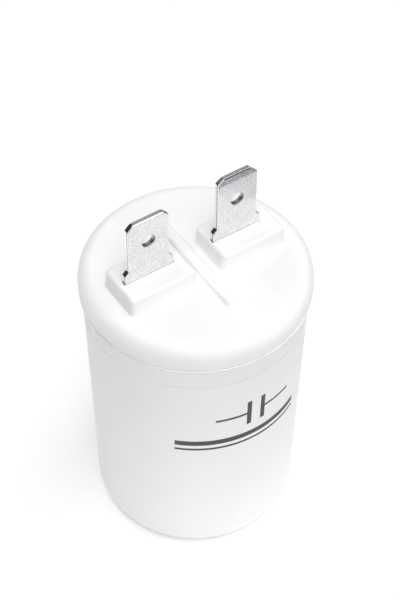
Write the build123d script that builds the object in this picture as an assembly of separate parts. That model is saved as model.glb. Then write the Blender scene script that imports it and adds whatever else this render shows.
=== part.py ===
from build123d import *
from math import radians, tan
import os

# A motor run capacitor in a round moulded plastic can, standing on its foot.
# Millimetres. The origin is the middle of the foot, +Z runs up the axis of the can,
# and +X runs along the line of the two push-on tabs.

# Can: a drafted cup that flares into a collar below its mouth
can_wall = 1.6
can_floor = 2.0
can_draft = 1.075
collar_height = 3.77
collar_flare = 0.26
collar_step = 0.07
collar_step_height = 0.25
foot_radius = 1.4
floor_chamfer = 0.8
foot_ring_width = 3.91
foot_recess_depth = 0.4

# Lid: a cap with a soft shoulder, welded on the mouth of the can
lid_overhang = 0.28
lid_height = 3.85
lid_shoulder_radius = 2.0
lid_lip_height = 0.4
lid_lip_lean = 0.13
lid_plate = 2.2
seam_gap = 0.18
seam_depth = 0.4
spigot_depth = 2.8
spigot_wall = 1.2
spigot_clearance = 0.05

# Bosses and rib on the lid
boss_pitch = 14.54
boss_length = 10.4
boss_width = 7.3
boss_height = 2.85
boss_draft = 3.0
boss_corner_radius = 0.8
boss_edge_radius = 0.5
boss_roof = 2.0
boss_wall = 1.6
rib_length = 18.4
rib_width = 1.8
rib_height = 0.75
rib_edge_radius = 0.55

# Terminals: 6.3 by 0.8 push-on tabs, each with two ears and a leg through the lid
left_tab_offset = -0.38
right_tab_offset = -0.92
tab_width = 6.3
tab_thickness = 0.8
tab_hole_diameter = 1.95
tab_hole_height = 4.25
tip_bevel_depth = 0.2
left_tab_reach = 8.3
left_tip_bevel = 0.4
left_tip_corners = ((0.95, 0.9), (0.95, 0.8))
right_tab_reach = 9.0
right_tip_bevel = 1.3
right_tip_corners = ((1.05, 0.8), (1.3, 1.3))
ear_width = 7.52
ear_height = 2.0
ear_seat_depth = 0.8
leg_width = 5.0
leg_length = 7.45
leg_end_chamfer = 0.6
terminal_clearance = 0.03
ear_end_clearance = 0.12

# Wound element: metallised film on a core, a plain outer wrap, and sprayed zinc ends
core_bore = 4.4
core_wall = 1.0
winding_diameter = 24.8
film_width = 31.0
wrap_thickness = 0.3
spray_thickness = 0.7
spray_edge_chamfer = 0.25
winding_clearance = 0.61
space_below_winding = 1.9

# Leads, solder and potting resin
wire_diameter = 0.8
insulation_diameter = 1.5
lead_clearance = 0.05
lead_bend_radius = 1.5
lead_straight = 0.15
wire_end_in_joint = 0.6
insulation_start = 1.3
insulation_end_gap = 0.3
spray_solder_radius = 1.2
terminal_solder_radius = 1.05
solder_cover = 0.2
solder_film = 0.06
solder_crown_share = 0.55
resin_above_winding = 2.6
air_above_resin = 0.45

# Heights from the foot up: the wound element and its resin set the height of the can
element_bottom = can_floor + space_below_winding
winding_bottom = element_bottom + spray_thickness
winding_top = winding_bottom + film_width
element_top = winding_top + spray_thickness
resin_top = element_top + resin_above_winding
can_height = resin_top + air_above_resin + spigot_depth
neck_z = can_height - collar_height
lid_top = can_height + lid_height
lid_underside = lid_top - lid_plate
boss_top = lid_top + boss_height
ear_seat = boss_top - ear_seat_depth
tab_root = boss_top + ear_height
leg_end = ear_seat - leg_length

# Diameters from the winding out
wrap_diameter = winding_diameter + 2 * wrap_thickness
foot_diameter = wrap_diameter + 2 * (winding_clearance + can_wall)
neck_diameter = foot_diameter + 2 * neck_z * tan(radians(can_draft))
mouth_diameter = neck_diameter + 2 * collar_flare
lid_diameter = mouth_diameter + 2 * lid_overhang
foot_recess_diameter = foot_diameter - 2 * foot_ring_width

# Places of the tabs, the leads and their joints
left_tab_x = left_tab_offset - boss_pitch / 2
right_tab_x = right_tab_offset + boss_pitch / 2
lead_joint_radius = -left_tab_x - lead_bend_radius - lead_straight - insulation_start
lead_offset = insulation_diameter / 2 + lead_clearance
lead_y = (tab_thickness + wire_diameter) / 2 + solder_film
lead_low_z = element_bottom - lead_offset
lead_high_z = element_top + lead_offset
terminal_joint_z = leg_end + leg_end_chamfer / 2 + terminal_solder_radius
wire_top_z = terminal_joint_z + wire_end_in_joint
insulation_top_z = leg_end - insulation_end_gap

# How a primitive lies that stands on the point it is placed at
STANDING = (Align.CENTER, Align.CENTER, Align.MIN)


def turned(points, rounds=()):
    """A solid turned from its half section of (radius, height) points, some of them rounded."""
    section = make_face(Plane.XZ * Polyline(*points, close=True)).face()
    for (radius, height), size in rounds:
        corner = section.vertices().sort_by_distance((radius, 0, height))[0]
        section = section.fillet_2d(size, [corner])
    return revolve(section, Axis.Z)


def tube(outer_diameter, wall, bottom, height):
    """A plain round tube standing on the axis."""
    outside = Cylinder(outer_diameter / 2, height, align=STANDING)
    inside = Cylinder(outer_diameter / 2 - wall, height, align=STANDING)
    return Pos(0, 0, bottom) * (outside - inside)


def bore_radius(height):
    """Radius of the bore of the can at a height in its collar."""
    share = (height - neck_z) / collar_height
    return (neck_diameter + share * (mouth_diameter - neck_diameter)) / 2 - can_wall


def cavity(top):
    """The space inside the can, from its floor up to a level below or at its mouth."""
    floor_share = can_floor / neck_z
    bottom_radius = (foot_diameter + floor_share * (neck_diameter - foot_diameter)) / 2 - can_wall
    floor_corner = [(bottom_radius - floor_chamfer, can_floor), (bottom_radius, can_floor + floor_chamfer)]
    wall_line = [(bore_radius(neck_z), neck_z), (bore_radius(can_height), can_height)]
    whole = turned([(0, can_floor), *floor_corner, *wall_line, (0, can_height)])
    return whole - Pos(0, 0, top) * Box(2 * mouth_diameter, 2 * mouth_diameter, 2 * can_height, align=STANDING)


def can():
    """The moulded cup: drafted side, foot edge, recessed base, and a collar with a fine step."""
    foot_corner = (foot_diameter / 2, 0)
    outside = turned(
        [
            (0, 0),
            foot_corner,
            (neck_diameter / 2, neck_z),
            (neck_diameter / 2 + collar_step, neck_z + collar_step_height),
            (mouth_diameter / 2, can_height),
            (0, can_height),
        ],
        [(foot_corner, foot_radius)],
    )
    recess = Cylinder(foot_recess_diameter / 2, 2 * foot_recess_depth)
    return outside - cavity(can_height) - recess


def boss(x):
    """A drafted block with rounded corners and a rounded top edge, on the lid at x."""
    outline = Pos(x, 0, lid_top) * RectangleRounded(boss_length, boss_width, boss_corner_radius)
    block = extrude(outline, boss_height, taper=boss_draft)
    top_edges = block.faces().sort_by(Axis.Z)[-1].edges()
    return fillet(top_edges, boss_edge_radius)


def boss_pocket(x):
    """The hollow moulded into a boss from below, which keeps its walls even."""
    outline = Pos(x, 0, lid_underside) * RectangleRounded(
        boss_length - 2 * boss_wall, boss_width - 2 * boss_wall, boss_corner_radius / 2
    )
    return extrude(outline, boss_top - boss_roof - lid_underside, taper=boss_draft)


def rib():
    """The low rounded bar across the lid between the bosses."""
    outline = Pos(0, 0, lid_top) * Rot(0, 0, 90) * SlotOverall(rib_length, rib_width)
    bar = extrude(outline, rib_height)
    return fillet(bar.faces().sort_by(Axis.Z)[-1].edges(), rib_edge_radius)


def terminal_slot(x):
    """The stepped slot through a boss: a seat for the ears over a narrower way for the leg."""
    room = 2 * terminal_clearance
    seat = Pos(x, 0, ear_seat) * Box(
        ear_width + 2 * ear_end_clearance, tab_thickness + room, 2 * ear_seat_depth, align=STANDING
    )
    way = Pos(x, 0, ear_seat) * Box(leg_width + room, tab_thickness + room, 2 * boss_roof)
    return seat + way


def lid():
    """The cap: shoulder and side, an open seam line below it, a spigot, two bosses and a rib."""
    side = lid_diameter / 2
    land = mouth_diameter / 2 - seam_depth
    spigot_top = bore_radius(can_height) - spigot_clearance
    spigot_end = bore_radius(can_height - spigot_depth) - spigot_clearance
    shoulder = (side, lid_top)
    lip = can_height + seam_gap
    cap = turned(
        [
            (0, lid_top),
            shoulder,
            (side, lip + lid_lip_height),
            (side - lid_lip_lean, lip),
            (land, lip),
            (land, can_height),
            (spigot_top, can_height),
            (spigot_end, can_height - spigot_depth),
            (spigot_end - spigot_wall, can_height - spigot_depth),
            (spigot_end - spigot_wall, lid_underside),
            (0, lid_underside),
        ],
        [(shoulder, lid_shoulder_radius)],
    )
    cap = cap + rib()
    for x in (-boss_pitch / 2, boss_pitch / 2):
        cap = cap + boss(x) - boss_pocket(x)
    return cap - terminal_slot(left_tab_x) - terminal_slot(right_tab_x)


def terminal(x, reach, bevel, corners):
    """A stamped terminal: tab with cut corners, bevelled tip and hole, two ears, and a leg."""
    tip = tab_root + reach
    (left_cut, left_drop), (right_cut, right_drop) = corners
    half_tab, half_ear, half_leg = tab_width / 2, ear_width / 2, leg_width / 2
    ear_corner = tab_root - (half_ear - half_tab)
    front = Polyline(
        (-half_leg + leg_end_chamfer, leg_end),
        (half_leg - leg_end_chamfer, leg_end),
        (half_leg, leg_end + leg_end_chamfer),
        (half_leg, ear_seat),
        (half_ear, ear_seat),
        (half_ear, ear_corner),
        (half_tab, tab_root),
        (half_tab, tip - right_drop),
        (half_tab - right_cut, tip),
        (-half_tab + left_cut, tip),
        (-half_tab, tip - left_drop),
        (-half_tab, tab_root),
        (-half_ear, ear_corner),
        (-half_ear, ear_seat),
        (-half_leg, ear_seat),
        (-half_leg, leg_end + leg_end_chamfer),
        close=True,
    )
    half = tab_thickness / 2
    edge = Polyline(
        (-half, leg_end),
        (half, leg_end),
        (half, tip - bevel),
        (half - tip_bevel_depth, tip),
        (tip_bevel_depth - half, tip),
        (-half, tip - bevel),
        close=True,
    )
    blank = extrude(make_face(Plane.XZ * front), half, both=True)
    bevelled = extrude(make_face(Plane.YZ * edge), ear_width, both=True)
    hole = Pos(0, 0, tab_root + tab_hole_height) * Rot(90, 0, 0) * Cylinder(
        tab_hole_diameter / 2, 2 * tab_thickness
    )
    return Pos(x, 0, 0) * ((blank & bevelled) - hole)


def end_spray(bottom, outer_edge):
    """A zinc disc sprayed on one end of the winding, with its outer edge at outer_edge broken."""
    disc = tube(winding_diameter, (winding_diameter - core_bore) / 2, bottom, spray_thickness)
    rims = disc.edges().filter_by(GeomType.CIRCLE).group_by(SortBy.RADIUS)[-1]
    rim = rims.sort_by(lambda edge: abs(edge.center().Z - outer_edge))[0]
    return chamfer(rim, spray_edge_chamfer)


def round_wire(diameter, corners):
    """A round wire along straight runs joined by bends, in the plane of the leads."""
    points = [(x, lead_y, z) for x, z in corners]
    path = FilletPolyline(*points, radius=lead_bend_radius)
    section = Plane(origin=path @ 0, z_dir=path % 0) * Circle(diameter / 2)
    return sweep(section, path=path.wire())


def left_lead(diameter, start, top):
    """From the upper end of the winding to the left terminal."""
    return round_wire(diameter, [(-start, lead_high_z), (left_tab_x, lead_high_z), (left_tab_x, top)])


def right_lead(diameter, start, top):
    """From the lower end of the winding, up through the core, to the right terminal."""
    return round_wire(
        diameter,
        [
            (start, lead_low_z),
            (0, lead_low_z),
            (0, lead_high_z),
            (right_tab_x, lead_high_z),
            (right_tab_x, top),
        ],
    )


def solder_drop(radius, height):
    """A blunt cone of solder, standing on the XY plane."""
    return turned([(0, 0), (radius, 0), (radius * solder_crown_share, height), (0, height)])


def make_parts():
    """Every piece of the capacitor, by name."""
    wire_start = lead_joint_radius - wire_end_in_joint
    wire_far_start = lead_joint_radius + wire_end_in_joint
    sleeve_start = lead_joint_radius + insulation_start
    sleeve_far_start = lead_joint_radius - insulation_start
    left_wire = left_lead(wire_diameter, wire_start, wire_top_z)
    right_wire = right_lead(wire_diameter, wire_far_start, wire_top_z)
    left_sleeve = left_lead(insulation_diameter, sleeve_start, insulation_top_z)
    right_sleeve = right_lead(insulation_diameter, sleeve_far_start, insulation_top_z)

    spray_drop = solder_drop(spray_solder_radius, lead_offset + wire_diameter / 2 + solder_cover)
    terminal_drop = Rot(-90, 0, 0) * solder_drop(
        terminal_solder_radius, solder_film + wire_diameter + solder_cover
    )
    back = tab_thickness / 2

    parts = {
        "can": can(),
        "lid": lid(),
        "left_terminal": terminal(left_tab_x, left_tab_reach, left_tip_bevel, left_tip_corners),
        "right_terminal": terminal(right_tab_x, right_tab_reach, right_tip_bevel, right_tip_corners),
        "winding_core": tube(core_bore + 2 * core_wall, core_wall, winding_bottom, film_width),
        "film_winding": tube(
            winding_diameter, (winding_diameter - core_bore) / 2 - core_wall, winding_bottom, film_width
        ),
        "outer_wrap": tube(wrap_diameter, wrap_thickness, winding_bottom, film_width),
        "upper_end_spray": end_spray(winding_top, element_top),
        "lower_end_spray": end_spray(element_bottom, element_bottom),
        "left_lead_wire": left_wire,
        "right_lead_wire": right_wire,
        "left_lead_insulation": left_sleeve - left_wire,
        "right_lead_insulation": right_sleeve - right_wire,
        "upper_spray_solder": Pos(-lead_joint_radius, lead_y, element_top) * spray_drop - left_wire,
        "lower_spray_solder": Pos(lead_joint_radius, lead_y, element_bottom) * Rot(180, 0, 0) * spray_drop
        - right_wire,
        "left_terminal_solder": Pos(left_tab_x, back, terminal_joint_z) * terminal_drop - left_wire,
        "right_terminal_solder": Pos(right_tab_x, back, terminal_joint_z) * terminal_drop - right_wire,
    }
    resin = cavity(resin_top)
    for name in RESIN_HOLDS:
        resin = resin - parts[name]
    parts["potting_resin"] = resin
    return parts


RESIN_HOLDS = (
    "winding_core",
    "film_winding",
    "outer_wrap",
    "upper_end_spray",
    "lower_end_spray",
    "left_lead_wire",
    "right_lead_wire",
    "left_lead_insulation",
    "right_lead_insulation",
    "upper_spray_solder",
    "lower_spray_solder",
)

os.makedirs("parts", exist_ok=True)
for name, solid in make_parts().items():
    export_step(solid, f"parts/{name}.step")
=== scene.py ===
import bmesh
import bpy
import numpy as np
from mathutils import Matrix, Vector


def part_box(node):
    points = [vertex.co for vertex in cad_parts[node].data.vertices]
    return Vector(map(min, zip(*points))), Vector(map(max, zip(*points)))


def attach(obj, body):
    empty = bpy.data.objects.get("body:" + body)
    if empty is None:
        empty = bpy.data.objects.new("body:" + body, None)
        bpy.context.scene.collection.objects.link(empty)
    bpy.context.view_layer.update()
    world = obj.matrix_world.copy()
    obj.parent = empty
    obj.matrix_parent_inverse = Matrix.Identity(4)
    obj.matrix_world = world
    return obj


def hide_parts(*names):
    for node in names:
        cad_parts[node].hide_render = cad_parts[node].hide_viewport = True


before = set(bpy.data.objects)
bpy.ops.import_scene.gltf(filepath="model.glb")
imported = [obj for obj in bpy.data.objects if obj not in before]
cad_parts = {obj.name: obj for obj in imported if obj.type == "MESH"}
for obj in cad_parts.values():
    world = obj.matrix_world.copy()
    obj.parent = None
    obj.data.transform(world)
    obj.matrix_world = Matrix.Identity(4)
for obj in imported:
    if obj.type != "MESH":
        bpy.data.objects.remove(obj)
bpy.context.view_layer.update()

bl_info = {
    "name": "Run Capacitor Finish",
    "version": (1, 0, 0),
    "blender": (4, 5, 0),
    "location": "3D View > Sidebar > Capacitor",
    "description": "Moulded can and lid, stamped tabs, weld flash and printed mark of a motor run capacitor",
    "category": "Object",
}

MM = 0.001
OVERLAP = 1.0 * MM  # how far a block that is joined or cut away reaches past a face
AROUND = 288  # points round the can and the lid
BODY = "root"


# Units, colours and properties
def linear(colour):
    """An sRGB hex colour as linear RGB: c / 12.92 when dark, else ((c + 0.055) / 1.055) ^ 2.4."""
    srgb = np.array([int(colour[k:k + 2], 16) for k in (1, 3, 5)]) / 255
    return np.where(srgb <= 0.04045, srgb / 12.92, ((srgb + 0.055) / 1.055) ** 2.4)


def size_property(name, description, millimetres):
    """A length that a user may change, given in millimetres and kept in metres."""
    return bpy.props.FloatProperty(
        name=name, description=description, default=millimetres * MM, unit="LENGTH", precision=5
    )


def sizes_property(name, description, *millimetres):
    """A row of lengths that a user may change, given in millimetres and kept in metres."""
    return bpy.props.FloatVectorProperty(
        name=name, description=description, default=[value * MM for value in millimetres],
        size=len(millimetres), unit="LENGTH", precision=5,
    )


def angle_property(name, description, degrees):
    """An angle that a user may change."""
    return bpy.props.FloatProperty(
        name=name, description=description, default=np.radians(degrees), subtype="ANGLE"
    )


def colour_property(name, description, colour):
    """A colour that a user may change, given as sRGB hex and kept as linear RGB."""
    return bpy.props.FloatVectorProperty(
        name=name, description=description, default=tuple(linear(colour)), size=3,
        min=0.0, max=1.0, subtype="COLOR",
    )


def level_property(name, description, value):
    """A plain number that a user may change."""
    return bpy.props.FloatProperty(name=name, description=description, default=value, min=0.0)


class CanSizes(bpy.types.PropertyGroup):
    """The moulded cup. Its height and mouth come from the frame."""

    draft: angle_property("Draft", "Slope of the side, which lets the mould open", 1.075)
    wall: size_property("Wall", "Thickness of the side", 1.6)
    floor: size_property("Floor", "Thickness of the base", 2.0)
    collar_height: size_property("Collar height", "From the witness line to the mouth", 3.77)
    collar_flare: size_property("Collar flare", "How far the collar widens to the mouth", 0.26)
    mould_shift: size_property("Mould shift", "How far the upper mould half sat to one side", 0.16)
    witness: size_property("Witness groove", "Height of the fine groove at the witness line", 0.08)
    witness_depth: size_property("Witness depth", "Depth of that groove", 0.14)
    witness_ledge: size_property("Witness ledge", "How far the body's edge stands out opposite", 0.05)
    shift_way: angle_property("Shift way", "Towards which side that mould half sat", -42.0)
    foot_radius: size_property("Foot radius", "Rounding of the outer foot edge", 1.4)
    ring_width: size_property("Foot ring", "Width of the ring that the can stands on", 3.91)
    recess_depth: size_property("Recess", "Depth of the hollow in the base", 0.4)
    edge_radius: size_property("Edge radius", "Rounding of the mouth and the recess", 0.12)
    colour: colour_property("Plastic", "Colour of the moulded can", "#F0F0F0")


class LidSizes(bpy.types.PropertyGroup):
    """The cap, its bosses and its rib. Its height and width come from the frame."""

    shoulder_radius: size_property("Shoulder", "Rounding of the top edge", 2.2)
    lip_height: size_property("Lip height", "How far up the bottom edge leans in", 0.4)
    lip_lean: size_property("Lip lean", "How far the bottom edge leans in", 0.2)
    plate: size_property("Plate", "Thickness of the top", 2.2)
    seam_gap: size_property("Seam gap", "Height of the open line over the can", 0.18)
    seam_depth: size_property("Seam depth", "How far that line reaches in from the collar", 0.4)
    spigot_wall: size_property("Spigot wall", "Thickness of the ring inside the can", 1.2)
    spigot_clearance: size_property("Spigot clearance", "Room between that ring and the can", 0.05)
    boss_pitch: size_property("Boss pitch", "Between the middles of the bosses", 14.54)
    boss_length: size_property("Boss length", "Along the line of the tabs", 10.4)
    boss_width: size_property("Boss width", "Across the line of the tabs", 7.3)
    boss_height: size_property("Boss height", "Over the top of the lid", 2.85)
    boss_draft: angle_property("Boss draft", "Slope of the boss walls", 3.0)
    boss_corner: size_property("Boss corner", "Rounding of the upright corners", 0.8)
    boss_edge: size_property("Boss edge", "Rounding of the top edge", 0.5)
    boss_foot: size_property("Boss foot", "Hollow rounding where a boss meets the lid", 0.2)
    boss_roof: size_property("Boss roof", "Thickness over the hollow inside", 2.0)
    boss_wall: size_property("Boss wall", "Thickness beside the hollow inside", 1.6)
    rib_length: size_property("Rib length", "Along the rib", 18.4)
    rib_width: size_property("Rib width", "Across the rib", 1.8)
    rib_height: size_property("Rib height", "Over the top of the lid", 0.75)
    rib_edge: size_property("Rib edge", "Rounding of the rib's top edge", 0.55)
    rib_foot: size_property("Rib foot", "Hollow rounding where the rib meets the lid", 0.24)
    slot_clearance: size_property("Slot clearance", "Room beside a terminal", 0.03)
    ear_clearance: size_property("Ear clearance", "Room at each end of the ears", 0.12)
    colour: colour_property("Plastic", "Colour of the moulded lid", "#F3F3F3")


class TabSizes(bpy.types.PropertyGroup):
    """The stamped terminals. Their places and tips come from the frame."""

    width: size_property("Width", "Of a push-on tab", 6.3)
    hole_diameter: size_property("Hole", "Diameter of the detent hole", 1.95)
    hole_height: size_property("Hole height", "From the ears up to the middle of the hole", 4.25)
    ear_height: size_property("Ear height", "From the boss up to the top of the ears", 2.0)
    ear_seat: size_property("Ear seat", "How deep the ears sit in the boss", 0.8)
    leg_width: size_property("Leg width", "Of the leg under the ears", 5.0)
    leg_chamfer: size_property("Leg chamfer", "Cut corners at the end of the leg", 0.6)
    edge_radius: size_property("Edge radius", "Rounding left by the die", 0.09)
    corner_radius: size_property("Corner radius", "Rounding of the outline's corners", 0.2)
    left_slopes: sizes_property("Left slope", "Length and depth of the slope at the left tip", 0.27, 0.15)
    right_slopes: sizes_property(
        "Right slopes", "Length and depth of the short and the long slope", 0.27, 0.085, 1.03, 0.078)
    left_cuts: sizes_property(
        "Left cuts", "Width and drop of both cut corners of the left tip", 0.95, 0.9, 0.95, 0.8)
    right_cuts: sizes_property(
        "Right cuts", "Width and drop of both cut corners of the right tip", 1.05, 0.8, 1.3, 1.3)
    colour: colour_property("Tin", "Colour of the plated faces", "#FAFAFB")
    edge_colour: colour_property("Sheared edge", "Colour of the cut edges", "#F0F1F3")


class TrimSizes(bpy.types.PropertyGroup):
    """The weld flash under the lid and the generic mark printed on the can."""

    flash_reach: size_property("Flash reach", "How far the bead stands out of the collar", 0.275)
    flash_root: size_property("Flash root", "How deep the bead is rooted in the collar", 0.06)
    flash_rise: size_property("Flash rise", "Half the height of the bead", 0.09)
    flash_lift: size_property("Flash lift", "How far the bead's middle lies over the can's mouth", 0.09)
    # Inside this radius, on the bare side, the bead is darkened: painted shade in the crevice.
    flash_shade_edge: size_property("Clean edge", "Radius inside which grime lies on the bare side", 16.03)
    flash_bare: angle_property("Bare side", "Where round the can the weld squeezed out least", 122.0)
    mark_middle: angle_property("Mark middle", "Where the printed mark sits round the can", -91.0)
    mark_height: size_property("Mark height", "Height of the symbol's middle over the foot", 30.4)
    plate_height: size_property("Symbol plates", "Height of the two plates of the symbol", 5.0)
    plate_width: size_property("Plate width", "Width of each plate", 0.7)
    plate_gap: size_property("Plate gap", "Between the two plates", 1.5)
    lead_length: size_property("Symbol leads", "Length of each lead of the symbol", 4.6)
    line_width: size_property("Line width", "Of the leads and the thin rule", 0.42)
    rule_start: size_property("Rule start", "From the symbol's middle to the rules' left end", -11.7)
    rule_end: size_property("Rule end", "From the symbol's middle to the rules' right end", 8.0)
    rule_width: size_property("Rule width", "Of the broad rule", 1.0)
    rule_height: size_property("Rule height", "Height of the broad rule over the foot", 25.6)
    ink_depth: size_property("Ink", "Thickness of the printed ink", 0.012)
    colour: colour_property("Ink", "Colour of the printed mark", "#3B3C3F")


class StageLevels(bpy.types.PropertyGroup):
    """The floor, the lamps and the room."""

    floor_colour: colour_property("Floor", "Colour of the floor", "#F6F6F6")
    floor_lift: level_property("Floor lift", "White added to the sheet", 0.075)
    table_colour: colour_property("Table", "Colour of the dim table round the sheet", "#5C6066")
    sheet_x: size_property("Sheet X", "Middle of the sheet, to the left of the can", -60)
    sheet_y: size_property("Sheet Y", "Middle of the sheet, behind the can", 110)
    sheet_white: size_property("Sheet", "Distance from its middle to which the sheet is white", 153)
    sheet_end: size_property("Sheet end", "Distance from its middle at which the dim table begins", 253)
    room: level_property("Room", "Soft light from all sides", 0.17)
    dim_room: level_property("Dim walls", "What polished metal mirrors low above the floor", 0.05)
    ceiling: level_property("Ceiling", "What polished metal mirrors high above the floor", 0.7)
    top: level_property("Top lamp", "Radiance of the soft lamp overhead", 2.84)
    right: level_property("Right lamp", "Radiance of the soft lamp at the right", 1.55)
    front: level_property("Front lamp", "Radiance of the soft lamp behind the camera", 2.12)
    window: level_property("Low window", "Radiance of the low wide lamp at the front right", 1.95)
    back: level_property("Back lamp", "Radiance of the soft lamp behind the can", 2.1)


GROUPS = {
    "capacitor_can": CanSizes,
    "capacitor_lid": LidSizes,
    "capacitor_tabs": TabSizes,
    "capacitor_trim": TrimSizes,
    "capacitor_stage": StageLevels,
}


# Outlines and surfaces, all worked out as whole arrays in metres
def rounded(points, radii, steps=6, closed=False):
    """An outline with its corners rounded. Each corner is cut back by r / tan(half its angle) along
    both runs, and its arc is centre + r (cos a, sin a) between the two cuts."""
    points = [np.array(point, float) for point in points]
    made = []
    for k, (corner, radius) in enumerate(zip(points, radii)):
        if radius == 0:
            made.append(corner[None])
            continue
        back = points[k - 1] - corner
        on = points[(k + 1) % len(points)] - corner
        back, on = back / np.hypot(*back), on / np.hypot(*on)
        half = np.arccos(np.clip(back @ on, -1, 1)) / 2
        middle = corner + (back + on) / np.hypot(*(back + on)) * radius / np.sin(half)
        first, last = (corner + run * radius / np.tan(half) - middle for run in (back, on))
        start = np.arctan2(first[1], first[0])
        turn = np.arctan2(first[0] * last[1] - first[1] * last[0], first @ last)
        a = start + turn * np.linspace(0, 1, steps + 1)
        made.append(middle + radius * np.column_stack([np.cos(a), np.sin(a)]))
    outline = np.concatenate(made)
    return np.concatenate([outline, outline[:1]]) if closed else outline


def filled(points, step):
    """The same outline with no run longer than step: P(s) at even steps of s, the length along it."""
    runs = np.hypot(*np.diff(points, axis=0).T)
    s = np.concatenate([[0], np.cumsum(runs)])
    parts = [
        np.linspace(a, b, max(int(np.ceil((b - a) / step)), 1), endpoint=False)
        for a, b in zip(s[:-1], s[1:]) if b > a
    ]
    at = np.concatenate(parts + [s[-1:]])
    return np.column_stack([np.interp(at, s, points[:, axis]) for axis in (0, 1)])


def quads(rows, columns, closed_rows=False, closed_columns=True, flipped=False):
    """The four-sided faces of a grid of points, counted row by row."""
    r, c = np.meshgrid(
        np.arange(rows if closed_rows else rows - 1),
        np.arange(columns if closed_columns else columns - 1), indexing="ij",
    )
    up, on = (r + 1) % rows, (c + 1) % columns
    ring = [r * columns + c, r * columns + on, up * columns + on, up * columns + c]
    return np.stack(ring[::-1] if flipped else ring, axis=-1).reshape(-1, 4)


def new_mesh(name, points, faces):
    """A mesh from an array of points and a list of face arrays."""
    mesh = bpy.data.meshes.new(name)
    mesh.from_pydata(points.reshape(-1, 3), [], [face for part in faces for face in part.tolist()])
    mesh.update()
    return mesh


def mesh_points(mesh):
    """The points of a mesh as an array of rows x, y, z."""
    points = np.empty(len(mesh.vertices) * 3, np.float32)
    mesh.vertices.foreach_get("co", points)
    return points.reshape(-1, 3)


def set_mesh_points(mesh, points):
    """Puts such an array back into its mesh."""
    mesh.vertices.foreach_set("co", points.ravel())
    mesh.update()


def new_object(name, data):
    """An object of that mesh, lamp or camera at the origin."""
    piece = bpy.data.objects.new(name, data)
    bpy.context.scene.collection.objects.link(piece)
    return piece


def round_axis(radius, a, height):
    """The points (r cos a, r sin a, z) of a surface round Z."""
    x, y = radius * np.cos(a), radius * np.sin(a)
    return np.stack([x, y, np.broadcast_to(height, x.shape)], axis=-1)


def turned(name, profile, segments):
    """A closed surface turned about Z: (r cos a, r sin a, z) for each (r, z) of a profile that
    starts and ends on the axis, where the rings close in a point."""
    a = np.linspace(0, 2 * np.pi, segments, endpoint=False)
    radius, height = profile[1:-1].T
    rings = round_axis(radius[:, None], a, height[:, None]).reshape(-1, 3)
    poles = np.array([[0, 0, profile[0, 1]], [0, 0, profile[-1, 1]]])
    c = np.arange(segments)
    on = (c + 1) % segments
    last = (len(radius) - 1) * segments
    low, high = len(rings), len(rings) + 1
    fans = [
        np.column_stack([np.full(segments, low), on, c]),
        np.column_stack([last + c, last + on, np.full(segments, high)]),
    ]
    return new_mesh(name, np.concatenate([rings, poles]), [quads(len(radius), segments), *fans])


def stacked(name, outline, offsets, heights, middle):
    """A closed block of stacked rings. Ring k is the outline pushed in by offset k along its own
    normal, at height k, and flat faces close both ends. The outline is a function of the offset."""
    rings = [np.column_stack([outline(push) + middle, np.full(len(outline(push)), height)])
             for push, height in zip(offsets, heights)]
    count = len(rings[0])
    ends = [np.arange(count)[None, ::-1], (len(rings) - 1) * count + np.arange(count)[None]]
    return new_mesh(name, np.stack(rings), [quads(len(rings), count), *ends])


def rounded_block(length, width, corner, steps=10, step=0.6 * MM):
    """A function that gives a rounded rectangle pushed in by an offset: straight runs between
    quarter arcs of radius corner - offset, with the same number of points for any offset."""
    turns = np.linspace(0, np.pi / 2, steps + 1)
    along, across = (max(int(np.ceil((side - 2 * corner) / step)), 1) for side in (length, width))

    def outline(push):
        radius = max(corner - push, 0.02 * MM)
        x, y = length / 2 - push - radius, width / 2 - push - radius
        parts = []
        corners = [(x, y), (-x, y), (-x, -y), (x, -y)]
        for k, (cx, cy) in enumerate(corners):
            a = turns + k * np.pi / 2
            arc = np.column_stack([cx + radius * np.cos(a), cy + radius * np.sin(a)])
            nx, ny = corners[(k + 1) % 4]
            start = np.array([nx + radius * np.cos(a[-1]), ny + radius * np.sin(a[-1])])
            share = np.linspace(0, 1, (along, across)[k % 2] + 1)[1:-1, None]
            parts.append(np.concatenate([arc, arc[-1] + share * (start - arc[-1])]))
        return np.concatenate(parts)

    return outline


def boss_profile(height, draft, edge, foot, sink, steps=8):
    """Offsets and heights of a boss: a hollow quarter round at its foot, a drafted wall and a
    quarter round on top. Both rounds are r (1 - sin t) and r (1 - cos t)."""
    t = np.linspace(0, np.pi / 2, steps + 1)
    lean = np.tan(draft)
    foot_push, foot_rise = -foot * (1 - np.sin(t)), foot * (1 - np.cos(t))
    wall = np.linspace(foot, height - edge, 6)[1:-1]
    edge_push = (height - edge) * lean + edge * (1 - np.cos(t))
    edge_rise = height - edge + edge * np.sin(t)
    offsets = np.concatenate([[-foot], foot_push, wall * lean, edge_push])
    heights = np.concatenate([[-OVERLAP], foot_rise - sink, wall, edge_rise])
    return offsets, heights


def cut_box(name, middle, size):
    """A plain closed box, used only to cut a slot: eight corners and six faces."""
    signs = np.array([[x, y, z] for z in (-1, 1) for y in (-1, 1) for x in (-1, 1)])
    faces = np.array([[0, 2, 3, 1], [4, 5, 7, 6], [0, 1, 5, 4], [2, 6, 7, 3], [0, 4, 6, 2], [1, 3, 7, 5]])
    return new_mesh(name, np.array(middle) + signs * np.array(size) / 2, [faces])


def combined(piece, tools, operation):
    """The piece's mesh joined with, or cut by, each tool mesh in turn."""
    for mesh in tools:
        tool = new_object("tool", mesh)
        change = piece.modifiers.new("cut", "BOOLEAN")
        change.operation = operation
        change.solver = "EXACT"
        change.object = tool
        settled(piece)
        bpy.data.objects.remove(tool)


def settled(piece):
    """The piece's modifiers worked into its mesh."""
    graph = bpy.context.evaluated_depsgraph_get()
    mesh = bpy.data.meshes.new_from_object(piece.evaluated_get(graph))
    piece.modifiers.clear()
    piece.data = mesh


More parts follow.
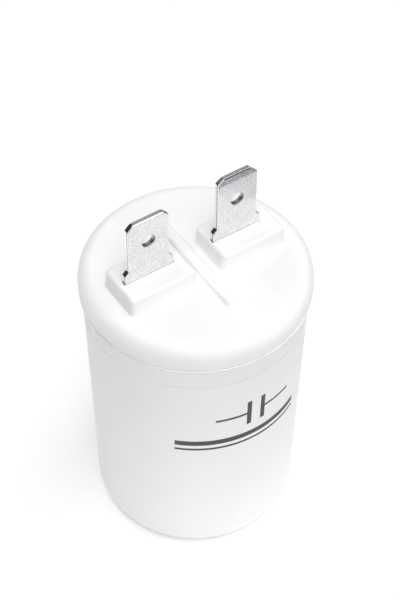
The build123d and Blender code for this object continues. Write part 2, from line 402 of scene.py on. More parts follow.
def smoothed(piece, sharp_degrees, weighted=False):
    """Smooth shading with edges sharper than an angle kept, and large flats favoured if asked."""
    piece.data.shade_smooth()
    piece.data.set_sharp_from_angle(angle=np.radians(sharp_degrees))
    if weighted:
        change = piece.modifiers.new("flats", "WEIGHTED_NORMAL")
        change.keep_sharp = True
        settled(piece)


def finished(piece, materials, replaced=()):
    """Gives a piece its materials and its place on the body, and hides the parts it replaces."""
    for material in materials:
        piece.data.materials.append(material)
    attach(piece, BODY)
    if replaced:
        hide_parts(*replaced)


# Materials
def new_material(name):
    """A material with an empty node tree but its output and shader."""
    material = bpy.data.materials.new(name)
    material.use_nodes = True
    tree = material.node_tree
    return material, tree, tree.nodes["Principled BSDF"]


def empty_tree(owner):
    """The node tree of a material or a world, with no node in it."""
    owner.use_nodes = True
    owner.node_tree.nodes.clear()
    return owner.node_tree


def add_node(tree, kind, inputs=(), **settings):
    """Adds a node, sets its properties, then sets or links each (socket, value or output) pair."""
    node = tree.nodes.new(kind)
    for key, value in settings.items():
        setattr(node, key, value)
    for socket, value in inputs:
        if isinstance(value, bpy.types.NodeSocket):
            tree.links.new(value, node.inputs[socket])
        else:
            node.inputs[socket].default_value = value
    return node


def grain(tree, millimetres, detail=3.0, stretch=(1, 1, 1)):
    """Noise on Object coordinates whose grains are about so many millimetres across."""
    place = add_node(tree, "ShaderNodeTexCoord")
    turn = add_node(tree, "ShaderNodeMapping", [("Vector", place.outputs["Object"]), ("Scale", stretch)])
    return add_node(tree, "ShaderNodeTexNoise", [
        ("Vector", turn.outputs["Vector"]), ("Scale", 1 / (millimetres * MM)), ("Detail", detail),
    ]).outputs["Fac"]


def spread(tree, value, low, high, least=0.3, most=0.7):
    """Maps a pattern's value from least..most to low..high."""
    return add_node(tree, "ShaderNodeMapRange", [
        ("Value", value), ("From Min", least), ("From Max", most), ("To Min", low), ("To Max", high),
    ]).outputs["Result"]


def tinted(tree, value, first, second):
    """A colour between two, by a value. Each of the two is a linear colour or a socket."""
    first, second = (
        shade if isinstance(shade, bpy.types.NodeSocket) else (*shade, 1.0) for shade in (first, second))
    return add_node(tree, "ShaderNodeMix", [(0, value), (6, first), (7, second)], data_type="RGBA").outputs[2]


def object_axis(tree, axis):
    """The place along X, Y or Z in Object coordinates."""
    place = add_node(tree, "ShaderNodeTexCoord")
    return add_node(tree, "ShaderNodeSeparateXYZ", [("Vector", place.outputs["Object"])]).outputs[axis]


def in_band(tree, pattern, axis, fade_in, fade_out):
    """A pattern kept only in a band along an axis. It fades in between the first two places and
    out between the last two."""
    place = object_axis(tree, axis)
    for share in (spread(tree, place, 0.0, 1.0, *fade_in), spread(tree, place, 1.0, 0.0, *fade_out)):
        pattern = add_node(tree, "ShaderNodeMath", [
            (0, pattern), (1, share)], operation="MULTIPLY").outputs["Value"]
    return pattern


def surfaced(tree, shader, colour, roughness, height, strength, millimetres):
    """Gives the shader its colour, its roughness and bump as deep as so many millimetres."""
    bump = add_node(tree, "ShaderNodeBump", [
        ("Height", height), ("Strength", strength), ("Distance", millimetres * MM)])
    tree.links.new(colour, shader.inputs["Base Color"])
    tree.links.new(roughness, shader.inputs["Roughness"])
    tree.links.new(bump.outputs["Normal"], shader.inputs["Normal"])


def moulded_plastic(name, colour, roughness, grain_mm, grain_depth, groove):
    """Injection-moulded polypropylene from a spark-eroded mould: a fine even grain makes it matt, and the
    filled resin shows faint, broad clouds of tone. From the first height of the groove to the second, in the
    open line between can and lid, it is darkened as painted shade."""
    material, tree, shader = new_material(name)
    shader.inputs["IOR"].default_value = 1.49
    clouds = spread(tree, grain(tree, 7.0, detail=2.0), 0.0, 1.0)
    fine = grain(tree, grain_mm, detail=2.0)
    painted_gap_shade = spread(tree, object_axis(tree, "Z"), 0.0, 1.0, *groove)
    shade = tinted(tree, clouds, np.array(colour) * 0.985, colour)
    # The band is darkened to #4A4E55: painted shade in the open line between can and lid.
    shade = tinted(tree, painted_gap_shade, shade, linear("#4A4E55"))
    gloss = spread(tree, fine, roughness - 0.04, roughness + 0.04)
    surfaced(tree, shader, shade, gloss, fine, 0.35, grain_depth)
    return material


def remelted_plastic(name, colour):
    """Polypropylene that melted in the weld and set again: smoother and a little glossier than moulded faces.
    In the crevice on its bare side it is darkened, as its attribute gives: painted shade."""
    material, tree, shader = new_material(name)
    shader.inputs["IOR"].default_value = 1.49
    cover = add_node(tree, "ShaderNodeAttribute", attribute_name="painted_gap_shade")
    # The attribute darkens the crevice part towards #5C6067: painted shade.
    shade = tinted(tree, cover.outputs["Fac"], colour, linear("#5C6067"))
    fine = grain(tree, 0.3, detail=2.0)
    surfaced(tree, shader, shade, spread(tree, fine, 0.24, 0.32), fine, 0.3, 0.004)
    return material


def tin_plate(name, colour, dark, roughness, slope_streaks_and_shade=None):
    """Bright tin plate on rolled brass: rolling and handling leave fine specks and short slanting scuffs on a
    nearly clean mirror, which spreads its shine a little. Between two given heights, over the tip's slopes,
    dull streaks darken it: partly marks of the die, partly painted shade for the darker reflection of those
    slopes."""
    material, tree, shader = new_material(name)
    shader.inputs["Metallic"].default_value = 1.0
    cloud = grain(tree, 1.4, detail=2.0)
    specks = grain(tree, 0.2, detail=3.0, stretch=(0.8, 1.0, 1.6))
    scuffs = grain(tree, 0.35, detail=4.0, stretch=(0.6, 1.0, 2.2))
    wear_and_shade = add_node(tree, "ShaderNodeMath", [
        (0, spread(tree, cloud, 0.0, 0.12, 0.4, 0.7)), (1, spread(tree, specks, 0.0, 0.7, 0.44, 0.7)),
    ], operation="ADD").outputs["Value"]
    if slope_streaks_and_shade:
        low, high = slope_streaks_and_shade
        # Streaks over the tip's slopes: partly marks of the die, partly painted shade for their darker
        # reflection.
        streaks = spread(tree, grain(tree, 0.11, detail=4.0, stretch=(0.3, 1.0, 1.0)), 0.0, 0.8, 0.4, 0.64)
        streaks = in_band(tree, streaks, "Z", (low - 0.05 * MM, low + 0.25 * MM), (high - 0.05 * MM, high))
        wear_and_shade = add_node(tree, "ShaderNodeMath", [(0, wear_and_shade), (1, streaks)], operation="ADD").outputs["Value"]
    gloss = spread(tree, scuffs, roughness - 0.06, roughness + 0.08)
    surfaced(tree, shader, tinted(tree, wear_and_shade, colour, dark), gloss, scuffs, 0.3, 0.004)
    return material


def sheared_edge(name, colour, dark, roughness):
    """The stamped edge of the strip: the die leaves a smooth burnished band next to the back face
    and a rougher, duller torn band next to the front, with a thin dark broken step between them."""
    material, tree, shader = new_material(name)
    shader.inputs["Metallic"].default_value = 1.0
    torn = spread(tree, object_axis(tree, "Y"), 1.0, 0.0, -0.18 * MM, -0.1 * MM)
    patches = spread(tree, grain(tree, 0.3, detail=3.0), 0.4, 0.9)
    step = in_band(tree, patches, "Y", (-0.27 * MM, -0.2 * MM), (-0.08 * MM, -0.02 * MM))
    tree.links.new(tinted(tree, step, colour, dark), shader.inputs["Base Color"])
    tree.links.new(spread(tree, torn, roughness, roughness + 0.14, 0.0, 1.0), shader.inputs["Roughness"])
    return material


def printed_ink(name, colour):
    """Pad-printed ink: a thin matt film that lies a little unevenly over the plastic's grain."""
    material, tree, shader = new_material(name)
    shader.inputs["IOR"].default_value = 1.5
    cover = grain(tree, 0.35, detail=3.0)
    shade = tinted(tree, spread(tree, cover, 0.0, 1.0), colour, np.array(colour) * 1.5)
    surfaced(tree, shader, shade, spread(tree, cover, 0.5, 0.62), cover, 0.2, 0.01)
    return material


def inner_finish(name, tones, metallic, roughness, grain_mm, depth, stretch):
    """The finish of a sealed inner piece: two tones of its real colour, its gloss and its grain,
    drawn out along Z where the stretch is small."""
    material, tree, shader = new_material(name)
    shader.inputs["Metallic"].default_value = metallic
    pattern = grain(tree, grain_mm, stretch=(1, 1, stretch))
    shade = tinted(tree, spread(tree, pattern, 0.0, 1.0), *(linear(tone) for tone in tones))
    gloss = spread(tree, pattern, roughness - 0.05, roughness + 0.05)
    surfaced(tree, shader, shade, gloss, pattern, 0.5, depth)
    return material


# The finishes of the sealed pieces: two tones, metallic, roughness, grain and depth in
# millimetres, and how the grain is stretched along Z
INNER_FINISHES = {
    "natural_polypropylene_tube": (("#D9D5C8", "#CFCABB"), 0.0, 0.45, 1.5, 0.01, 1.0),
    "metallised_film_turns": (("#C9CBD0", "#A9ACB3"), 0.9, 0.30, 0.5, 0.01, 0.02),
    "clear_polypropylene_wrap": (("#DAD9CF", "#CFCDC0"), 0.0, 0.22, 2.0, 0.02, 0.05),
    "sprayed_zinc": (("#9EA1A4", "#84878B"), 0.8, 0.68, 0.25, 0.08, 1.0),
    "tinned_copper_wire": (("#D5D4CF", "#C2C1BC"), 1.0, 0.28, 0.2, 0.004, 0.1),
    "extruded_vinyl_sleeve": (("#2A2B2E", "#232427"), 0.0, 0.42, 0.4, 0.005, 0.1),
    "set_solder": (("#C4C7CB", "#AEB1B5"), 1.0, 0.24, 0.5, 0.01, 1.0),
    "cast_polyurethane_resin": (("#8F8160", "#7E7254"), 0.0, 0.25, 3.0, 0.02, 1.0),
}

# Which sealed pieces have each finish
INNER_PIECES = {
    "natural_polypropylene_tube": ["winding_core"],
    "metallised_film_turns": ["film_winding"],
    "clear_polypropylene_wrap": ["outer_wrap"],
    "sprayed_zinc": ["upper_end_spray", "lower_end_spray"],
    "tinned_copper_wire": ["left_lead_wire", "right_lead_wire"],
    "extruded_vinyl_sleeve": ["left_lead_insulation", "right_lead_insulation"],
    "set_solder": [
        "left_terminal_solder", "right_terminal_solder", "upper_spray_solder", "lower_spray_solder"],
    "cast_polyurethane_resin": ["potting_resin"],
}


def can_radius(can, height):
    """Radius of the can's side at a height, on the straight draft line below the collar."""
    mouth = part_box("can")[1]
    neck_height = mouth.z - can.collar_height
    return mouth.x - can.collar_flare - (neck_height - height) * np.tan(can.draft)


def collar_shifted(mesh, can, neck, low, high):
    """Moves the outside of the collar in on one side, as a mould leaves it whose halves sat a
    little apart: by the mould shift at the witness line, fading in a straight line to none at the
    mouth. On that side the groove closes, and the body's edge stands out as a fine ledge."""
    points = mesh_points(mesh)
    radius = np.hypot(points[:, 0], points[:, 1])
    way = np.array([np.cos(can.shift_way), np.sin(can.shift_way)])
    facing = -points[:, :2] @ way / radius.clip(MM)
    outside = radius > neck - can.wall / 2
    collar = (points[:, 2] > low - 0.001 * MM) & outside
    share = np.clip((high - points[:, 2]) / (high - low), 0, 1) * collar
    groove = (points[:, 2] > low - can.witness) & (radius < neck - can.witness_depth / 2) & outside
    closed = np.clip(4 * facing, 0, 1) * groove * (points[:, 2] < low)
    move = closed * (can.witness_depth + can.witness_ledge) - np.clip(facing, 0, 1) * can.mould_shift * share
    points[:, :2] *= (1 + move / radius.clip(MM))[:, None]
    set_mesh_points(mesh, points)


class CAPACITOR_OT_can(bpy.types.Operator):
    """Makes the moulded can, with its foot, collar, witness line and bore"""

    bl_idname = "capacitor.can"
    bl_label = "Moulded can"

    def execute(self, context):
        can = context.scene.capacitor_can
        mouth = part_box("can")[1]
        neck_height = mouth.z - can.collar_height
        neck, foot = mouth.x - can.collar_flare, can_radius(can, 0)
        recess = foot - can.ring_width
        groove, slope = neck - can.witness_depth, can.witness * 0.1
        points = [
            (0, can.recess_depth), (recess, can.recess_depth), (recess, 0), (foot, 0),
            (neck, neck_height - can.witness), (groove, neck_height - can.witness + slope),
            (groove, neck_height - slope), (neck, neck_height),
            (mouth.x, mouth.z), (mouth.x - can.wall, mouth.z),
            (neck - can.wall, neck_height), (can_radius(can, can.floor) - can.wall, can.floor),
            (0, can.floor),
        ]
        edge, bore_corner = can.edge_radius, 0.8 * MM
        radii = [0, edge, edge, can.foot_radius, 0, 0, 0, 0, edge, edge, 0, bore_corner, 0]
        profile = filled(rounded(points, radii, steps=8), 1.5 * MM)
        mesh = turned("can_shell", profile, AROUND)
        collar_shifted(mesh, can, neck, neck_height, mouth.z)
        piece = new_object("can_shell", mesh)
        smoothed(piece, 30)
        # The can's rim top, inside the open line under the lid, is darkened: painted shade.
        painted_gap_shade = (mouth.z - 0.03 * MM, mouth.z - 0.01 * MM)
        plastic = moulded_plastic("moulded_polypropylene_can", can.colour, 0.5, 0.22, 0.012, painted_gap_shade)
        finished(piece, [plastic], ["can"])
        return {"FINISHED"}


class CAPACITOR_OT_lid(bpy.types.Operator):
    """Makes the welded lid, with its shoulder, bosses, rib, hollows and slots"""

    bl_idname = "capacitor.lid"
    bl_label = "Welded lid"

    def execute(self, context):
        can, lid = context.scene.capacitor_can, context.scene.capacitor_lid
        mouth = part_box("can")[1]
        low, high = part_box("lid")
        side, top = high.x, high.z - lid.boss_height
        under = top - lid.plate
        land = mouth.x - lid.seam_depth
        spigot = mouth.x - can.wall - lid.spigot_clearance
        lean = can.collar_flare / can.collar_height
        spigot_end = spigot - (mouth.z - low.z) * lean
        points = [
            (0, under), (spigot_end - lid.spigot_wall, under), (spigot_end - lid.spigot_wall, low.z),
            (spigot_end, low.z), (spigot, mouth.z), (land, mouth.z), (land, mouth.z + lid.seam_gap),
            (side - lid.lip_lean, mouth.z + lid.seam_gap), (side, mouth.z + lid.seam_gap + lid.lip_height),
            (side, top), (0, top),
        ]
        inner, end, lip, lean_end = 0.2 * MM, 0.15 * MM, 0.04 * MM, 0.5 * MM
        radii = [0, inner, end, end, 0, 0, 0, lip, lean_end, lid.shoulder_radius, 0]
        profile = filled(rounded(points, radii, steps=12), 1.2 * MM)
        piece = new_object("lid_shell", turned("lid_shell", profile, AROUND))

        sink = 0.01 * MM
        offsets, heights = boss_profile(lid.boss_height, lid.boss_draft, lid.boss_edge, lid.boss_foot, sink)
        block = rounded_block(lid.boss_length, lid.boss_width, lid.boss_corner)
        places = [np.array([x, 0.0]) for x in (-lid.boss_pitch / 2, lid.boss_pitch / 2)]
        joined = [stacked("boss", block, offsets, heights + top, place) for place in places]
        offsets, heights = boss_profile(lid.rib_height, 0.0, lid.rib_edge, lid.rib_foot, sink)
        bar = rounded_block(lid.rib_width, lid.rib_length, lid.rib_width / 2 - 0.01 * MM)
        joined.append(stacked("rib", bar, offsets, heights + top, np.zeros(2)))
        combined(piece, joined, "UNION")

        hollow = rounded_block(
            lid.boss_length - 2 * lid.boss_wall, lid.boss_width - 2 * lid.boss_wall, lid.boss_corner / 2)
        roof = high.z - lid.boss_roof
        depth = roof - under
        levels = np.array([under - OVERLAP, under, roof])
        pushes = np.array([0.0, 0.0, depth * np.tan(lid.boss_draft)])
        cuts = [stacked("hollow", hollow, pushes, levels, place) for place in places]
        tabs = context.scene.capacitor_tabs
        reach, overlap = 4 * MM, 0.1 * MM
        for node in ("left_terminal", "right_terminal"):
            first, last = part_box(node)
            middle = (first.x + last.x) / 2
            ears = last.x - first.x + 2 * lid.ear_clearance
            thick = last.y - first.y + 2 * lid.slot_clearance
            seat = high.z - tabs.ear_seat
            leg = tabs.leg_width + 2 * lid.slot_clearance
            cuts.append(cut_box("seat", (middle, 0, seat + reach / 2), (ears, thick, reach)))
            cuts.append(cut_box("way", (middle, 0, seat + overlap - reach / 2), (leg, thick, reach)))
        combined(piece, cuts, "DIFFERENCE")
        smoothed(piece, 32, weighted=True)
        groove = mouth.z + lid.seam_gap
        # Below the open line the lid is darkened: painted shade.
        painted_gap_shade = (groove + 0.03 * MM, groove + 0.01 * MM)
        plastic = moulded_plastic("moulded_polypropylene_lid", lid.colour, 0.46, 0.2, 0.008, painted_gap_shade)
        finished(piece, [plastic], ["lid"])
        return {"FINISHED"}


def terminal_outline(tabs, node, cuts, boss_top):
    """The stamped outline in (x, z), anticlockwise from the end of the leg, and the same number of
    points on a smaller outline inside it, which keeps the faces between them from crossing."""
    first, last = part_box(node)
    middle = (first.x + last.x) / 2
    tab, ear, leg = tabs.width / 2, (last.x - first.x) / 2, tabs.leg_width / 2
    root, seat, tip, end = boss_top + tabs.ear_height, boss_top - tabs.ear_seat, last.z, first.z
    chamfer = tabs.leg_chamfer
    left_cut, left_drop, right_cut, right_drop = cuts
    points = [
        (chamfer - leg, end), (leg - chamfer, end), (leg, end + chamfer), (leg, seat), (ear, seat),
        (ear, root - (ear - tab)), (tab, root), (tab, tip - right_drop), (tab - right_cut, tip),
        (left_cut - tab, tip), (-tab, tip - left_drop), (-tab, root), (-ear, root - (ear - tab)),
        (-ear, seat), (-leg, seat), (-leg, end + chamfer),
    ]
    tight, soft = [0.12 * MM] * 4, tabs.corner_radius
    radii = [soft, soft, soft, *tight, soft, soft, soft, soft, *tight, soft]
    outline = filled(rounded(points, radii, steps=4, closed=True), 0.3 * MM)[:-1]
    share, from_end, from_tip = 0.68, 1.2 * MM, 1.7 * MM
    inside = np.array(points)
    inside[:, 0] = share * np.clip(inside[:, 0], -tab, tab)
    inside[:, 1] = np.clip(inside[:, 1], end + from_end, tip - from_tip)
    for corners, rise in (([3, 14], -0.5), ([4, 13], 0.4), ([5, 12], -0.2)):
        inside[corners, 1] += rise * MM
    nearest = [np.argmin(np.hypot(*(outline - corner).T)) for corner in points]
    steps = np.arange(len(outline))
    inner = np.column_stack([
        np.interp(steps, nearest, inside[:, axis], period=len(outline)) for axis in (0, 1)])
    return outline, inner, middle


def stamped_plate(name, outline, inner, middle, half, hole, hole_z, edge):
    """A flat stamped plate with a round hole, as one closed grid. Round the grid go the outline's
    points, and across it a loop: front face, outer edge, back face and the wall of the hole. A face
    point is (1 - m) A + m B, first from the hole's rim to the inner outline and then on to the
    border. The rim and the border are set in by the edge radius e, and each edge is a quarter
    round of e."""
    ahead, behind = np.roll(outline, -1, axis=0), np.roll(outline, 1, axis=0)
    run = ahead - behind
    run /= np.hypot(*run.T)[:, None]
    out = np.column_stack([run[:, 1], -run[:, 0]])
    centre = np.array([0.0, hole_z])
    ray = inner - centre
    ray /= np.hypot(*ray.T)[:, None]
    rim, border = centre + (hole + edge) * ray, outline - edge * out
    face = [(1 - share) * rim + share * inner for share in (0, 0.03, 0.2, 0.6)]
    face += [(1 - share) * inner + share * border for share in (0, 0.5, 0.85, 0.96, 1)]
    t = np.linspace(0, np.pi / 2, 5)[1:-1]
    loop = [(row, -half) for row in face]
    loop += [(border + edge * np.sin(a) * out, edge * (1 - np.cos(a)) - half) for a in t]
    loop += [(outline, edge - half), (outline, 0.0), (outline, half - edge)]
    loop += [(border + edge * np.cos(a) * out, half - edge * (1 - np.sin(a))) for a in t]
    loop += [(row, half) for row in face[::-1]]
    loop += [(rim - edge * np.sin(a) * ray, half - edge * (1 - np.cos(a))) for a in t]
    wall = centre + hole * ray
    loop += [(wall, half - edge), (wall, 0.0), (wall, edge - half)]
    loop += [(rim - edge * np.cos(a) * ray, edge * (1 - np.sin(a)) - half) for a in t]
    grid = np.stack([
        np.column_stack([row[:, 0] + middle, np.full(len(row), y), row[:, 1]]) for row, y in loop])
    rows, faces, edge_rows = len(loop), len(face), 2 * len(t) + 3
    mesh = new_mesh(name, grid, [quads(rows, len(outline), closed_rows=True, flipped=True)])
    finish = np.zeros(rows, np.int32)
    finish[faces - 1:faces - 1 + edge_rows] = 1
    finish[2 * faces - 1 + edge_rows:] = 2
    mesh.polygons.foreach_set("material_index", np.repeat(finish, len(outline)))
    return mesh


def tip_bevelled(mesh, tip, slopes, half):
    """Slopes both faces in towards the tip. The slopes are pairs of length and depth, from the tip
    down, and y is scaled by 1 - d / half, where the depth d runs in straight lines between their
    ends. Two cuts at each crease keep it crisp."""
    lengths, parts = np.reshape(slopes, (-1, 2)).T
    heights = np.append(tip, tip - np.cumsum(lengths))[::-1]
    depths = np.append(0, np.cumsum(parts[::-1]))
    work = bmesh.new()
    work.from_mesh(mesh)
    crease = 0.02 * MM
    for height in heights[:-1]:
        for level in (height - crease, height + crease):
            everything = work.verts[:] + work.edges[:] + work.faces[:]
            bmesh.ops.bisect_plane(
                work, geom=everything, dist=1e-8, plane_co=(0, 0, level), plane_no=(0, 0, 1))
    work.to_mesh(mesh)
    work.free()
    points = mesh_points(mesh)
    points[:, 1] *= 1 - np.interp(points[:, 2], heights, depths) / half
    set_mesh_points(mesh, points)


class CAPACITOR_OT_tabs(bpy.types.Operator):
    """Makes both stamped terminals, with their tips, holes, ears and legs"""

    bl_idname = "capacitor.tabs"
    bl_label = "Stamped tabs"

    def execute(self, context):
        tabs = context.scene.capacitor_tabs
        boss_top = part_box("lid")[1].z
        wear_and_shade, torn = linear("#A0A3A7"), linear("#34363B")
        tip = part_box("right_terminal")[1].z
        # The right tip's slopes get dull streaks: partly die marks, partly painted shade.
        slope_streaks_and_shade = (tip - tabs.right_slopes[0] - tabs.right_slopes[2], tip)
        left_plate = tin_plate("tin_plated_brass", tabs.colour, wear_and_shade, 0.2)
        right_plate = tin_plate("tin_plated_brass_coined", tabs.colour, wear_and_shade, 0.2, slope_streaks_and_shade)
        edges = sheared_edge("sheared_tin_edge", tabs.edge_colour, torn, 0.16)
        punched = sheared_edge("punched_hole_wall", linear("#C4C6CA"), torn, 0.4)
        for side, cuts, slopes, plate in (
            ("left", tabs.left_cuts, tabs.left_slopes, left_plate),
            ("right", tabs.right_cuts, tabs.right_slopes, right_plate),
        ):
            node = f"{side}_terminal"
            first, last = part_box(node)
            half = (last.y - first.y) / 2
            outline, inner, middle = terminal_outline(tabs, node, cuts, boss_top)
            hole_z = boss_top + tabs.ear_height + tabs.hole_height
            mesh = stamped_plate(
                f"{side}_tab_plate", outline, inner, middle, half,
                tabs.hole_diameter / 2, hole_z, tabs.edge_radius)
            tip_bevelled(mesh, last.z, slopes, half)
            piece = new_object(f"{side}_tab_plate", mesh)
            smoothed(piece, 35)
            finished(piece, [plate, edges, punched], [node])
        return {"FINISHED"}


class CAPACITOR_OT_flash(bpy.types.Operator):
    """Makes the thin bead of plastic squeezed out of the weld under the lid. At angle a round the
    can its section is an ellipse, m + o cos t along the radius and h + u sin t up. On one side the
    weld squeezed out little, which leaves the line open there, and the bead is ragged in between"""

    bl_idname = "capacitor.flash"
    bl_label = "Weld flash"

    def execute(self, context):
        trim = context.scene.capacitor_trim
        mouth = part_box("can")[1]
        segments, around = 720, 16
        a = np.linspace(0, 2 * np.pi, segments, endpoint=False)
        draw, lumps = np.random.default_rng(5), 240
        fine = np.interp(a, np.linspace(0, 2 * np.pi, lumps + 1), np.resize(draw.random(lumps), lumps + 1))
        bare = np.clip(1.2 * np.cos(a - trim.flash_bare), 0, 1)
        size = np.clip(1 - 0.12 * bare - (0.08 + bare * (1 - bare)) * fine, 0.3, 1)
        out = (trim.flash_reach * size + trim.flash_root) / 2
        rise = trim.flash_rise * (0.3 + 0.7 * size)
        height = mouth.z + trim.flash_lift * (1 - bare ** 2)
        t = np.linspace(0, 2 * np.pi, around, endpoint=False)[:, None]
        radius = mouth.x - trim.flash_root + out + out * np.cos(t)
        grid = round_axis(radius, a, height + rise * np.sin(t))
        mesh = new_mesh("weld_flash", grid, [quads(around, segments, closed_rows=True)])
        # Inside that radius, on the bare side, the bead is marked for darkening: painted shade in the crevice
        # under the lid.
        shaded_crevice = np.clip((trim.flash_shade_edge - radius) / (0.02 * MM), 0, 1) * (np.sin(t) > -0.3)
        mesh.attributes.new("painted_gap_shade", "FLOAT", "POINT").data.foreach_set("value", (shaded_crevice * bare).ravel())
        piece = new_object("weld_flash", mesh)
        smoothed(piece, 60)
        # The bead's near-white colour, lighter than can and lid, is a painted highlight for the light it
        # catches.
        finished(piece, [remelted_plastic("remelted_polypropylene", linear("#FDFDFD"))])
        return {"FINISHED"}


def printed_bar(can, trim, start, end, low, high):
    """A bar of ink wrapped on the drafted side: (r cos a, r sin a, z), with r a little under and
    over the plastic, as a closed loop of four rows carried round the can and flat at both ends.
    Start and end are lengths round the can from the mark's middle."""
    around = max(int((end - start) / (0.3 * MM)), 2)
    mean = can_radius(can, (low + high) / 2)
    a = trim.mark_middle + np.linspace(start, end, around + 1) / mean
    z = np.array([low, high, high, low])[:, None]
    lift = np.array([1, 1, -3, -3])[:, None] * trim.ink_depth
    radius = can_radius(can, z) + lift
    grid = round_axis(radius, a, z)
    columns = around + 1
    corners = np.arange(4) * columns
    ends = [corners[None], corners[None, ::-1] + around]
    return grid.reshape(-1, 3), [quads(4, columns, closed_rows=True, closed_columns=False), *ends]


class CAPACITOR_OT_mark(bpy.types.Operator):
    """Prints a plain circuit symbol for a capacitor over two plain rules, with no lettering"""

    bl_idname = "capacitor.mark"
    bl_label = "Printed mark"

    def execute(self, context):
        trim, can = context.scene.capacitor_trim, context.scene.capacitor_can
        middle, half_plate = trim.mark_height, trim.plate_height / 2
        inner, line = trim.plate_gap / 2, trim.line_width / 2
        outer = inner + trim.plate_width
        left, right, broad = trim.rule_start, trim.rule_end, trim.rule_width / 2
        gap = 0.9 * MM
        thin = trim.rule_height - broad - gap
        bars = [
            (inner, outer, middle - half_plate, middle + half_plate),
            (-outer, -inner, middle - half_plate, middle + half_plate),
            (outer, outer + trim.lead_length, middle - line, middle + line),
            (-outer - trim.lead_length, -outer, middle - line, middle + line),
            (left, right, trim.rule_height - broad, trim.rule_height + broad),
            (left, right, thin - line, thin + line),
        ]
        points, faces, count = [], [], 0
        for bar in bars:
            grid, parts = printed_bar(can, trim, *bar)
            points.append(grid)
            faces += [part + count for part in parts]
            count += len(grid)
        piece = new_object("printed_mark", new_mesh("printed_mark", np.concatenate(points), faces))
        smoothed(piece, 30)
        finished(piece, [printed_ink("pad_printed_ink", trim.colour)])
        return {"FINISHED"}


class CAPACITOR_OT_inside(bpy.types.Operator):
    """Gives each sealed piece inside the can the finish of its real material"""

    bl_idname = "capacitor.inside"
    bl_label = "Sealed pieces"

    def execute(self, context):
        for name, finish in INNER_FINISHES.items():
            material = inner_finish(name, *finish)
            for node in INNER_PIECES[name]:
                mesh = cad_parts[node].data
                mesh.materials.clear()
                mesh.materials.append(material)
        return {"FINISHED"}


def floor_material(stage):
    """A matt white sheet. The camera sees it as endless and lifted to white, with its shadow kept.
    All other rays see it end some way off on a dim table, as the tabs mirror it in the photo."""
    material = bpy.data.materials.new("matt_white_sheet")
    tree = empty_tree(material)
    rays = add_node(tree, "ShaderNodeLightPath")
    place = add_node(tree, "ShaderNodeTexCoord")
    far = add_node(tree, "ShaderNodeVectorMath", [
        (0, place.outputs["Object"]), (1, (stage.sheet_x, stage.sheet_y, 0))], operation="DISTANCE")
    fade = spread(tree, far.outputs["Value"], 1.0, 0.0, stage.sheet_white, stage.sheet_end)
    sheet = add_node(tree, "ShaderNodeMath", [
        (0, fade), (1, rays.outputs["Is Camera Ray"])], operation="MAXIMUM").outputs["Value"]
    lift = add_node(tree, "ShaderNodeMath", [(0, sheet), (1, stage.floor_lift)], operation="MULTIPLY")
    colour = tinted(tree, sheet, stage.table_colour, stage.floor_colour)
    matt = add_node(tree, "ShaderNodeBsdfDiffuse", [("Color", colour)])
    glow = add_node(tree, "ShaderNodeEmission", [("Strength", lift.outputs["Value"])])
    both = add_node(tree, "ShaderNodeAddShader", [(0, matt.outputs[0]), (1, glow.outputs[0])])
    add_node(tree, "ShaderNodeOutputMaterial", [("Surface", both.outputs[0])])
    return material


def room_world(stage):
    """White for the camera, soft grey light for the object, and for polished metal a room with
    dim walls and a grey ceiling, as its cut corners and its tops mirror it."""
    world = bpy.data.worlds.new("studio_room")
    tree = empty_tree(world)
    rays = add_node(tree, "ShaderNodeLightPath")
    place = add_node(tree, "ShaderNodeTexCoord")
    split = add_node(tree, "ShaderNodeSeparateXYZ", [("Vector", place.outputs["Generated"])])
    walls = spread(tree, split.outputs["Z"], stage.dim_room, stage.ceiling, 0.5, 0.7)
    glossy = add_node(tree, "ShaderNodeMix", [
        (0, rays.outputs["Is Glossy Ray"]), (2, stage.room), (3, walls)], data_type="FLOAT")
    level = add_node(tree, "ShaderNodeMix", [
        (0, rays.outputs["Is Camera Ray"]), (2, glossy.outputs[0]), (3, 1.0)], data_type="FLOAT")
    light = add_node(tree, "ShaderNodeBackground", [("Strength", level.outputs[0])])
    add_node(tree, "ShaderNodeOutputWorld", [("Surface", light.outputs[0])])
    bpy.context.scene.world = world


def aimed(place, target, roll=0.0):
    """A matrix that stands at a place and looks at a target with -Z."""
    back = np.array(place, float) - np.array(target, float)
    back /= np.linalg.norm(back)
    right = np.cross([0, 0, 1], back)
    right /= np.linalg.norm(right)
    up = np.cross(back, right)
    turned_right = np.cos(roll) * right + np.sin(roll) * up
    turned_up = np.cos(roll) * up - np.sin(roll) * right
    matrix = np.eye(4)
    matrix[:3, :] = np.column_stack([turned_right, turned_up, back, place])
    return Matrix(matrix.tolist())


def soft_lamp(name, azimuth, elevation, width, height, radiance, mirrored=True):
    """A soft rectangular lamp 0.9 m off, aimed at the can. Its power is pi x area x radiance, and
    the tabs mirror it or not."""
    a, e = np.radians(azimuth), np.radians(elevation)
    target, distance = np.array([0, 0, 30 * MM]), 900 * MM
    place = target + distance * np.array([np.cos(e) * np.cos(a), np.cos(e) * np.sin(a), np.sin(e)])
    lamp = bpy.data.lights.new(name, "AREA")
    lamp.shape = "RECTANGLE"
    lamp.size, lamp.size_y = width, height
    lamp.energy = np.pi * width * height * radiance
    piece = new_object(name, lamp)
    piece.matrix_world = aimed(place, target)
    piece.visible_glossy = mirrored


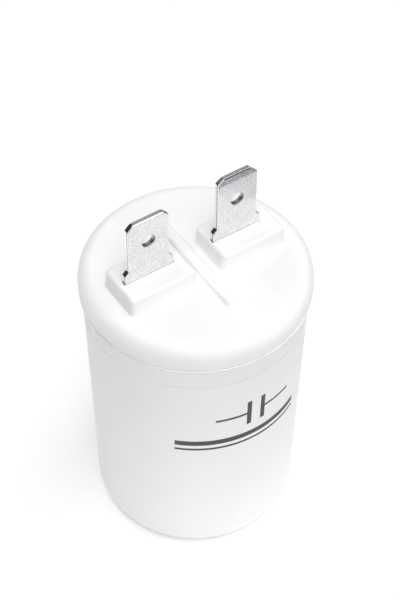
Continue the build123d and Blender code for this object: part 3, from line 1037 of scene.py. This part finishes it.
def photo_camera():
    """The camera of the photograph, fitted to the tabs, the lid and the foot. The photograph is
    600 pixels high, and its focal length is 1600 pixels."""
    azimuth, elevation, roll = np.radians([-34.1726, 48.5922, 0.4495])
    distance, right_shift, up_shift = 217.225 * MM, 0.608 * MM, -5.048 * MM
    focal_pixels, picture_height = 1600, 600
    lid_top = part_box("lid")[1].z - bpy.context.scene.capacitor_lid.boss_height
    back = np.array([
        np.sin(azimuth) * np.cos(elevation), -np.cos(azimuth) * np.cos(elevation), np.sin(elevation)])
    right = np.array([np.cos(azimuth), np.sin(azimuth), 0])
    up = np.cross(back, right)
    place = back * distance + right * right_shift + up * up_shift + np.array([0, 0, lid_top])
    camera = bpy.data.cameras.new("photo_camera")
    camera.sensor_width = 36.0
    camera.lens = camera.sensor_width * focal_pixels / picture_height
    piece = new_object("photo_camera", camera)
    piece.matrix_world = aimed(place, place - back, roll)
    bpy.context.scene.camera = piece


class CAPACITOR_OT_stage(bpy.types.Operator):
    """Makes the pale floor, the room, the soft lamps and the camera"""

    bl_idname = "capacitor.stage"
    bl_label = "Stage and camera"

    def execute(self, context):
        stage = context.scene.capacitor_stage
        half, under = 1.5, -0.01 * MM
        corners = np.array([
            [-half, -half, under], [half, -half, under], [half, half, under], [-half, half, under]])
        floor = new_object("floor", new_mesh("floor", corners, [np.array([[0, 1, 2, 3]])]))
        floor.data.materials.append(floor_material(stage))
        room_world(stage)
        soft_lamp("top_lamp", -100, 75, 0.7, 0.7, stage.top)
        soft_lamp("right_lamp", -10, 35, 0.9, 0.7, stage.right)
        soft_lamp("front_lamp", -124, 28, 0.7, 0.6, stage.front)
        soft_lamp("low_window", -68, 8, 0.9, 0.3, stage.window)
        soft_lamp("back_lamp", 100, 42, 0.8, 0.6, stage.back, mirrored=False)
        photo_camera()
        context.scene.view_settings.view_transform = "Standard"
        return {"FINISHED"}


OPERATORS = (
    CAPACITOR_OT_can,
    CAPACITOR_OT_lid,
    CAPACITOR_OT_tabs,
    CAPACITOR_OT_flash,
    CAPACITOR_OT_mark,
    CAPACITOR_OT_inside,
    CAPACITOR_OT_stage,
)


class CAPACITOR_PT_sidebar(bpy.types.Panel):
    """Lists the pieces of the capacitor, each with its sizes and colours"""

    bl_label = "Run capacitor"
    bl_idname = "CAPACITOR_PT_sidebar"
    bl_space_type = "VIEW_3D"
    bl_region_type = "UI"
    bl_category = "Capacitor"

    def draw(self, context):
        for operator in OPERATORS:
            self.layout.operator(operator.bl_idname)
        for name in GROUPS:
            group = getattr(context.scene, name)
            box = self.layout.box()
            for key in group.__annotations__:
                box.prop(group, key)


def register():
    for kind in (*GROUPS.values(), *OPERATORS, CAPACITOR_PT_sidebar):
        bpy.utils.register_class(kind)
    for name, kind in GROUPS.items():
        setattr(bpy.types.Scene, name, bpy.props.PointerProperty(type=kind))


def unregister():
    for name in GROUPS:
        delattr(bpy.types.Scene, name)
    for kind in (CAPACITOR_PT_sidebar, *reversed(OPERATORS), *reversed(GROUPS.values())):
        bpy.utils.unregister_class(kind)


def main():
    register()
    bpy.ops.capacitor.can()
    bpy.ops.capacitor.lid()
    bpy.ops.capacitor.tabs()
    bpy.ops.capacitor.flash()
    bpy.ops.capacitor.mark()
    bpy.ops.capacitor.inside()
    bpy.ops.capacitor.stage()


if __name__ == "__main__":
    main()
